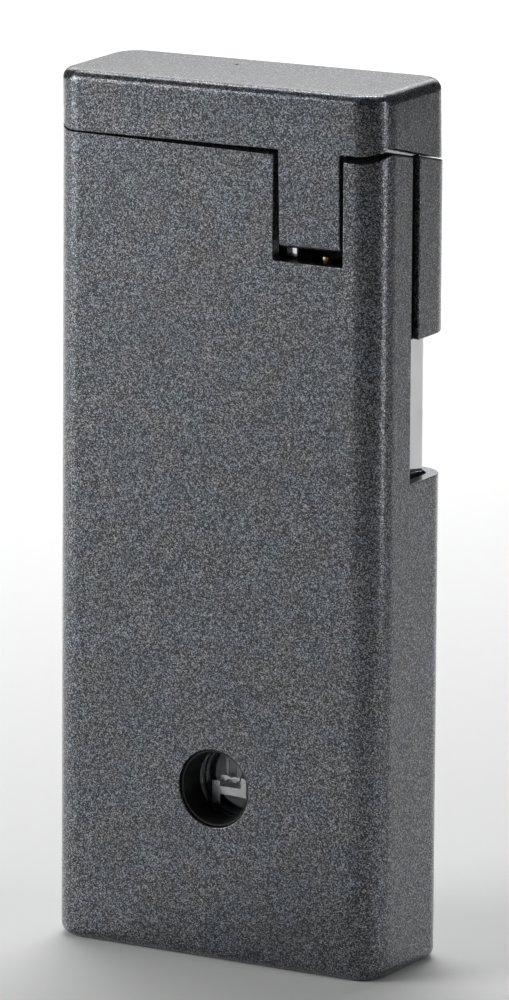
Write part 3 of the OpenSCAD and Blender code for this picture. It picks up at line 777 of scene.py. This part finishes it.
def make_chrome(sizes):
    """Polished inner sleeve and the windguard above it."""
    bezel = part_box("window_bezel")
    window = circle((bezel[0].x + bezel[1].x) / 2, sizes.window_z, 3.14 * MM, 64)
    slot_x = (12 * MM, 14 * MM)
    slot_y = (1.35 * MM, 3.25 * MM)
    sleeve_slot_z = (51.4 * MM, 60 * MM)
    guard_slot_z = (50 * MM, 64.6 * MM)
    sleeve_slot, guard_slot = (
        block("cutter", (slot_x[0], slot_y[0], z0), (slot_x[1], slot_y[1], z1))
        for z0, z1 in (sleeve_slot_z, guard_slot_z)
    )
    make_sheet_tube("chrome_sleeve", "inner_sleeve", [prism("cutter", window, "Y", -6 * MM, 0), sleeve_slot])
    open_l, open_r, floor_z, r = 6.5 * MM, 10.85 * MM, 56 * MM, 0.8 * MM
    above = 70 * MM
    mouth = [(open_r, above), (open_l, above)]
    for cx, start in ((open_l + r, 180), (open_r - r, 270)):
        for i in range(9):
            a = radians(start + 90 * i / 8)
            mouth.append((cx + r * cos(a), floor_z + r + r * sin(a)))
    make_sheet_tube("chrome_windguard", "windguard", [prism("cutter", mouth, "Y", -6 * MM, 0), guard_slot])


def make_window(sizes):
    """Black well, recessed lens, its seal, and the metal parts behind it."""
    low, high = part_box("window_bezel")
    lens_low, lens_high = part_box("window_lens")
    seal_low, seal_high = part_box("window_seal")
    centre = ((low.x + high.x) / 2, 0, sizes.window_z)
    out_r = (high.x - low.x) / 2
    bore_r = 2.9 * MM
    lip_r = 2.5 * MM
    lip_y = lens_high.y + 0.35 * MM
    c = 0.06 * MM
    well = [
        (out_r, low.y + c), (out_r - c, low.y), (bore_r + c, low.y), (bore_r, low.y + c),
        (bore_r, lip_y), (lip_r, lip_y), (lip_r, high.y), (out_r, high.y),
    ]
    obj = lathe("window_well", well, centre, "Y", 128, closed=True)
    mount(soften(obj, 0), "base", "black_plastic", "window_bezel")
    r = (lens_high.x - lens_low.x) / 2
    crown = 0.10 * MM
    face = [(r * (1 - i / 10), lens_low.y - crown * (1 - (1 - i / 10) ** 2)) for i in range(1, 11)]
    rim = [(r - c, lens_high.y), (r, lens_high.y - c), (r, lens_low.y + c), (r - c, lens_low.y)]
    obj = lathe("window_glass", [(0, lens_high.y), *rim, *face], centre, "Y", 128)
    mount(soften(obj, 0), "base", "clear_lens", "window_lens")
    mid_y = (seal_low.y + seal_high.y) / 2
    ring_r = (seal_high.x - seal_low.x) / 2 - 0.16 * MM
    half_wide, half_thick = 0.155 * MM, 0.15 * MM
    turns = [2 * pi * i / 12 for i in range(12)]
    section = [(ring_r + half_wide * cos(a), mid_y + half_thick * sin(a)) for a in turns]
    obj = lathe("window_ring", section, centre, "Y", 96, closed=True)
    mount(soften(obj, 0), "base", "black_rubber", "window_seal")
    make_level_strips(centre, lens_low.y)
    dress("pickup_pin", "steel")
    dress("pickup_clip", "tank_metal")


def make_level_strips(centre, lens_y):
    """Thin metal strips seen in the lens: a stepped frame, a comb above it and two wires. Outlines in mm."""
    left, inner_l, inner_r, right = -1.80, -1.07, 0.82, 1.32
    frame_shape = [
        (left, -0.10), (left, -1.99), (inner_l, -1.99), (inner_l, -1.17), (inner_r, -1.20), (right, -1.25),
        (right, 0.30), (inner_r, 0.36), (inner_r, -0.52), (inner_l, -0.52), (inner_l, -0.10),
    ]
    comb_shape = [
        (-0.95, 0.40), (-0.88, 0.02), (-0.52, -0.08), (-0.36, 0.10), (-0.10, 0.12), (0.04, -0.10),
        (0.34, -0.14), (0.50, 0.06), (0.72, 0.10), (0.75, 0.46), (0.58, 0.34), (0.30, 0.40),
        (-0.02, 0.28), (-0.42, 0.42),
    ]
    half = 0.04
    wire_foot, wire_top = 0.44, 1.65
    wires = [
        [(u - half, wire_foot), (u + half, wire_foot), (u + half, wire_top), (u - half, wire_top)]
        for u in (-0.35, 0.56)
    ]
    near, far = lens_y + 0.10 * MM, lens_y + 0.30 * MM
    for i, shape in enumerate([frame_shape, comb_shape, *wires], 1):
        outline = [(centre[0] + u * MM, centre[2] + v * MM) for u, v in shape]
        strip = prism(f"level_strip_{i}", outline, "Y", near, far)
        mount(soften(strip, 0.02 * MM), "base", "steel")


def make_burner():
    """Gas jet with its hexagonal tip, and the valve under it."""
    low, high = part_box("burner_jet")
    x = (low.x + high.x) / 2
    y = (low.y + high.y) / 2
    tip_r = 0.42 * MM
    bore_r = 0.12 * MM
    stem_r = 0.45 * MM
    seat_r = 0.85 * MM
    flange_r = 1.0 * MM
    c = 0.05 * MM
    seat_top = low.z + 0.5 * MM
    neck = high.z - 1.1 * MM
    flange_z = 55.2 * MM
    flange_top = flange_z + 0.3 * MM
    profile = [
        (0, low.z), (seat_r - c, low.z), (seat_r, low.z + c), (seat_r, seat_top), (stem_r, seat_top),
        (stem_r, flange_z), (flange_r - c, flange_z), (flange_r, flange_z + c), (flange_r, flange_top - c),
        (flange_r - c, flange_top), (stem_r, flange_top), (stem_r, neck), (0, neck),
    ]
    stem = lathe("jet_stem", profile, (x, y, 0), "Z", 64)
    mount(soften(stem, 0), "jet", "brass", "burner_jet")
    hexagon = prism("jet_tip", circle(x, y, tip_r, 6), "Z", neck - 0.02 * MM, high.z)
    carve(hexagon, prism("cutter", circle(x, y, bore_r, 24), "Z", neck + 0.1 * MM, high.z + MM))
    mount(soften(hexagon, c, 3), "jet", "brass")
    dress("valve_body", "brass")
    dress("valve_seal", "black_rubber")
    dress("gas_lever", "steel")
    dress("lever_pin", "steel")


def make_striker():
    """Striker wheel, its drive, bracket, flint and tube."""
    for node, slot in (
        ("striker_wheel", "striker_steel"), ("drive_pinion", "steel"), ("striker_axle", "steel"),
        ("striker_bracket", "steel"), ("flint", "flint_alloy"), ("flint_tube", "brass"),
    ):
        dress(node, slot, 0.02 * MM)


def make_slide_works():
    """Black carriage behind the thumb piece, its rack and its guide."""
    dress("slider_carriage", "black_plastic")
    for node in ("slider_rack", "guide_rod", "guide_bridge"):
        dress(node, "steel")


def make_springs():
    """Wound springs; those that a moving part presses get their own copy of the mesh. Wire radius and travel
    in mm.
    """
    for name, node, turns, wire_r, joint, travel in (
        ("slide_return_spring", "slider_spring", 16, 0.12, "slider_slide", 10.0),
        ("valve_closing_spring", "valve_spring", 5, 0.10, "jet_lift", 0.66),
        ("refill_return_spring", "refill_valve_spring", 5, 0.12, "refill_press", 0.8),
        ("flint_pressure_spring", "flint_spring", 22, 0.14, None, 0),
    ):
        low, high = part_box(node)
        wire = wire_r * MM
        x, y = (high.x + low.x) / 2, (high.y + low.y) / 2
        tall = high.z - low.z
        obj = helix(name, (x, y, low.z), (high.x - low.x) / 2 - wire, wire, tall, turns)
        mount(soften(obj, 0), "base", "spring_steel", node)
        if joint:
            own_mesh(obj)


def make_hinge():
    """Hinge leaves, pin and rivets."""
    for node in ("cap_hinge_leaf", "body_hinge_leaf", "hinge_pin", "cap_rivets", "body_rivets"):
        dress(node, "steel", 0.05 * MM)
    dress("cap_pad", "black_plastic", 0.2 * MM)


def make_tank():
    """Fuel tank and its base."""
    dress("fuel_tank", "tank_metal", 0.05 * MM)
    dress("tank_base", "tank_metal", 0.05 * MM)


def make_base_fittings():
    """Refill valve, flame adjuster and the screws in the base."""
    for node, slot in (
        ("refill_valve_body", "brass"), ("refill_valve_stem", "steel"), ("refill_valve_seal", "black_rubber"),
        ("flame_adjuster", "brass"), ("adjuster_rod", "steel"),
        ("flint_screw", "brass"), ("tank_screw", "steel"),
    ):
        dress(node, slot, 0.05 * MM)


# ---------------------------------------------------------------- stage


def area_light(name, place, aim, size, power, spread=180):
    """Rectangular soft light at place, facing aim; spread in degrees narrows its beam."""
    data = bpy.data.lights.new(name, "AREA")
    data.shape = "RECTANGLE"
    data.size, data.size_y = size
    data.energy = power
    data.spread = radians(spread)
    lamp = bpy.data.objects.new(name, data)
    bpy.context.scene.collection.objects.link(lamp)
    lamp.location = place
    lamp.visible_camera = False
    lamp.rotation_euler = (Vector(aim) - Vector(place)).to_track_quat("-Z", "Y").to_euler()


def make_camera():
    """Long lens a little above and to the right, turned slightly about its own axis."""
    azimuth = radians(30.06)
    elevation = radians(12.783)
    roll = radians(0.3694)
    focal_length = 355.356
    shift_right, shift_up, distance = 0.4086 * MM, 1.0804 * MM, 775.63 * MM
    back = Vector((sin(azimuth) * cos(elevation), -cos(azimuth) * cos(elevation), sin(elevation)))
    right = Vector((cos(azimuth), sin(azimuth), 0))
    up = back.cross(right)
    right, up = right * cos(roll) + up * sin(roll), up * cos(roll) - right * sin(roll)
    target = Vector((0, 0, 35 * MM))
    place = target + right * shift_right + up * shift_up + back * distance
    data = bpy.data.cameras.new("camera")
    data.sensor_width = 36
    data.lens = focal_length
    data.clip_start = 0.01
    data.clip_end = 20
    camera = bpy.data.objects.new("camera", data)
    bpy.context.scene.collection.objects.link(camera)
    turn = Matrix((right, up, back)).transposed().to_4x4()
    camera.matrix_world = Matrix.Translation(place) @ turn
    bpy.context.scene.camera = camera


def make_stage():
    """Floor that curves up behind, soft lights, dim pale surroundings and the camera."""
    size = 1.5
    rise = 0.6
    steps = 16
    bend = 0.35
    turns = [pi / 2 * i / steps for i in range(steps + 1)]
    curve = [(size + bend * sin(a), bend * (1 - cos(a))) for a in turns]
    profile = [(-size, 0), *curve, (size + bend, bend + rise)]
    bm = bmesh.new()
    rows = [[bm.verts.new((x, y, z)) for x in (-2 * size, 2 * size)] for y, z in profile]
    for a, b in zip(rows, rows[1:]):
        bm.faces.new((a[0], a[1], b[1], b[0]))
    floor = object_from(bm, "floor")
    floor.data.materials.append(FINISHES["floor"])
    floor.data.shade_smooth()
    world = bpy.data.worlds.new("pale_room")
    bpy.context.scene.world = world
    world.use_nodes = True
    sky = world.node_tree.nodes["Background"]
    sky.inputs["Color"].default_value = (0.96, 0.98, 1.0, 1)
    sky.inputs["Strength"].default_value = 0.04
    middle = (0, 0, 35 * MM)
    area_light("back_softbox", (-0.43, 0.75, 0.42), middle, (0.8, 0.4), 0.42, 90)
    area_light("backdrop_softbox", (-0.34, 0.42, 0.60), (-0.26, 0.28, 0), (0.7, 0.6), 1.9, 70)
    area_light("left_softbox", (-0.29, -0.25, 0.15), middle, (0.22, 0.30), 0.95)
    area_light("right_strip", (0.150, -0.002, 0.075), middle, (0.035, 0.15), 0.040)
    bpy.context.scene.view_settings.view_transform = "Standard"
    make_camera()


# ---------------------------------------------------------------- operators


class LIGHTER_OT_finishes(bpy.types.Operator):
    """Makes every material."""

    bl_idname = "lighter.finishes"
    bl_label = "Make finishes"

    def execute(self, context):
        make_finishes(context.scene.lighter_colours)
        return {"FINISHED"}


class LIGHTER_OT_stage(bpy.types.Operator):
    """Adds the floor, the lights and the camera."""

    bl_idname = "lighter.stage"
    bl_label = "Set the stage"

    def execute(self, context):
        make_stage()
        return {"FINISHED"}


class LIGHTER_OT_shell(bpy.types.Operator):
    """Builds the painted outer shell."""

    bl_idname = "lighter.shell"
    bl_label = "Shell"

    def execute(self, context):
        make_shell(context.scene.lighter_sizes)
        return {"FINISHED"}


class LIGHTER_OT_cap(bpy.types.Operator):
    """Builds the painted cap with its tongue."""

    bl_idname = "lighter.cap"
    bl_label = "Cap"

    def execute(self, context):
        make_cap(context.scene.lighter_sizes)
        return {"FINISHED"}


class LIGHTER_OT_thumb_piece(bpy.types.Operator):
    """Builds the painted thumb piece of the slide."""

    bl_idname = "lighter.thumb_piece"
    bl_label = "Thumb piece"

    def execute(self, context):
        make_slide_cover(context.scene.lighter_sizes)
        return {"FINISHED"}


class LIGHTER_OT_slide_works(bpy.types.Operator):
    """Finishes the slide's carriage, rack and guide."""

    bl_idname = "lighter.slide_works"
    bl_label = "Slide works"

    def execute(self, context):
        make_slide_works()
        return {"FINISHED"}


class LIGHTER_OT_chrome(bpy.types.Operator):
    """Builds the inner sleeve and the windguard."""

    bl_idname = "lighter.chrome"
    bl_label = "Chrome"

    def execute(self, context):
        make_chrome(context.scene.lighter_sizes)
        return {"FINISHED"}


class LIGHTER_OT_window(bpy.types.Operator):
    """Builds the fuel window and what is behind it."""

    bl_idname = "lighter.window"
    bl_label = "Window"

    def execute(self, context):
        make_window(context.scene.lighter_sizes)
        return {"FINISHED"}


class LIGHTER_OT_burner(bpy.types.Operator):
    """Builds the gas jet and finishes its valve and lever."""

    bl_idname = "lighter.burner"
    bl_label = "Burner"

    def execute(self, context):
        make_burner()
        return {"FINISHED"}


class LIGHTER_OT_striker(bpy.types.Operator):
    """Finishes the striker wheel, its drive and the flint."""

    bl_idname = "lighter.striker"
    bl_label = "Striker"

    def execute(self, context):
        make_striker()
        return {"FINISHED"}


class LIGHTER_OT_springs(bpy.types.Operator):
    """Winds the four springs."""

    bl_idname = "lighter.springs"
    bl_label = "Springs"

    def execute(self, context):
        make_springs()
        return {"FINISHED"}


class LIGHTER_OT_hinge(bpy.types.Operator):
    """Finishes the hinge, its rivets and the cap's pad."""

    bl_idname = "lighter.hinge"
    bl_label = "Hinge"

    def execute(self, context):
        make_hinge()
        return {"FINISHED"}


class LIGHTER_OT_tank(bpy.types.Operator):
    """Finishes the fuel tank."""

    bl_idname = "lighter.tank"
    bl_label = "Tank"

    def execute(self, context):
        make_tank()
        return {"FINISHED"}


class LIGHTER_OT_base_fittings(bpy.types.Operator):
    """Finishes the valve, adjuster and screws in the base."""

    bl_idname = "lighter.base_fittings"
    bl_label = "Base fittings"

    def execute(self, context):
        make_base_fittings()
        return {"FINISHED"}


OPERATORS = [
    LIGHTER_OT_finishes,
    LIGHTER_OT_stage,
    LIGHTER_OT_shell,
    LIGHTER_OT_cap,
    LIGHTER_OT_thumb_piece,
    LIGHTER_OT_slide_works,
    LIGHTER_OT_chrome,
    LIGHTER_OT_window,
    LIGHTER_OT_burner,
    LIGHTER_OT_striker,
    LIGHTER_OT_springs,
    LIGHTER_OT_hinge,
    LIGHTER_OT_tank,
    LIGHTER_OT_base_fittings,
]


class LIGHTER_PT_build(bpy.types.Panel):
    """Lists the lighter's settings and the steps that build it."""

    bl_label = "Lighter"
    bl_idname = "LIGHTER_PT_build"
    bl_space_type = "VIEW_3D"
    bl_region_type = "UI"
    bl_category = "Lighter"

    def draw(self, context):
        for group in (context.scene.lighter_sizes, context.scene.lighter_colours):
            column = self.layout.column(align=True)
            for key in group.__annotations__:
                column.prop(group, key)
        column = self.layout.column(align=True)
        for step in OPERATORS:
            column.operator(step.bl_idname)


CLASSES = [LighterSizes, LighterColours, *OPERATORS, LIGHTER_PT_build]


def register():
    for item in CLASSES:
        bpy.utils.register_class(item)
    bpy.types.Scene.lighter_sizes = PointerProperty(type=LighterSizes)
    bpy.types.Scene.lighter_colours = PointerProperty(type=LighterColours)


def unregister():
    del bpy.types.Scene.lighter_colours
    del bpy.types.Scene.lighter_sizes
    for item in reversed(CLASSES):
        bpy.utils.unregister_class(item)


def main():
    """Builds everything in order."""
    register()
    for step in OPERATORS:
        getattr(bpy.ops.lighter, step.bl_idname.split(".")[1])()


if __name__ == "__main__":
    main()
